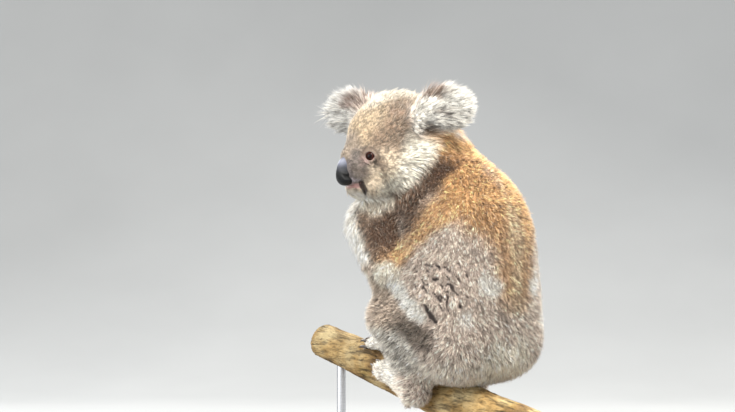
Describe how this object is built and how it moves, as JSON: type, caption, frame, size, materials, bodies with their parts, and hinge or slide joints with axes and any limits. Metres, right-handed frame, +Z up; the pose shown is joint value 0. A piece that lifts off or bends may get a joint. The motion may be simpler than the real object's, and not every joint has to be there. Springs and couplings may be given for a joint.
{
  "type": "koala",
  "caption": "Life-size koala sitting astride a cut length of branch, looking over its left shoulder, held by two rods on a flat display base",
  "frame": {"origin": "middle of the display base's underside, on the floor", "axes": "+Z up; the animal's body faces -Y with its head turned to its own left, +X; the branch runs along Y and rises to the front"},
  "size_m": [0.3052, 0.4621, 0.5967],
  "materials": {
    "head": "short grey-beige fur",
    "neck": "orange-brown fur",
    "trunk": "speckled brown fur",
    "tail": "pale fur",
    "ear_left": "long white fringe",
    "ear_right": "long white fringe",
    "upper_arm_left": "dark grey-brown fur",
    "upper_arm_right": "dark grey-brown fur",
    "forearm_left": "grey fur",
    "forearm_right": "grey fur",
    "hand_left": "short grey fur",
    "hand_right": "short grey fur",
    "leg_left": "grey-brown fur",
    "leg_right": "grey-brown fur",
    "foot_left": "short pale grey fur",
    "foot_right": "short pale grey fur",
    "nose": "black bare skin, finely pebbled",
    "eye_left": "wet brown eye",
    "eye_right": "wet brown eye",
    "perch": "weathered bark",
    "stand_base": "black satin lacquer",
    "stand_rod_front": "brushed",
    "stand_rod_back": "brushed"
  },
  "bodies": {
    "root": {"head": "head", "neck": "neck", "trunk": "trunk", "tail": "tail", "ear_left": "ear_left", "ear_right": "ear_right", "upper_arm_left": "upper_arm_left", "upper_arm_right": "upper_arm_right", "forearm_left": "forearm_left", "forearm_right": "forearm_right", "hand_left": "hand_left", "hand_right": "hand_right", "leg_left": "leg_left", "leg_right": "leg_right", "foot_left": "foot_left", "foot_right": "foot_right", "nose": "nose", "eye_left": "eye_left", "eye_right": "eye_right", "perch": "perch", "stand_base": "stand_base", "stand_rod_front": "stand_rod_front", "stand_rod_back": "stand_rod_back"}
  },
  "joints": []
}
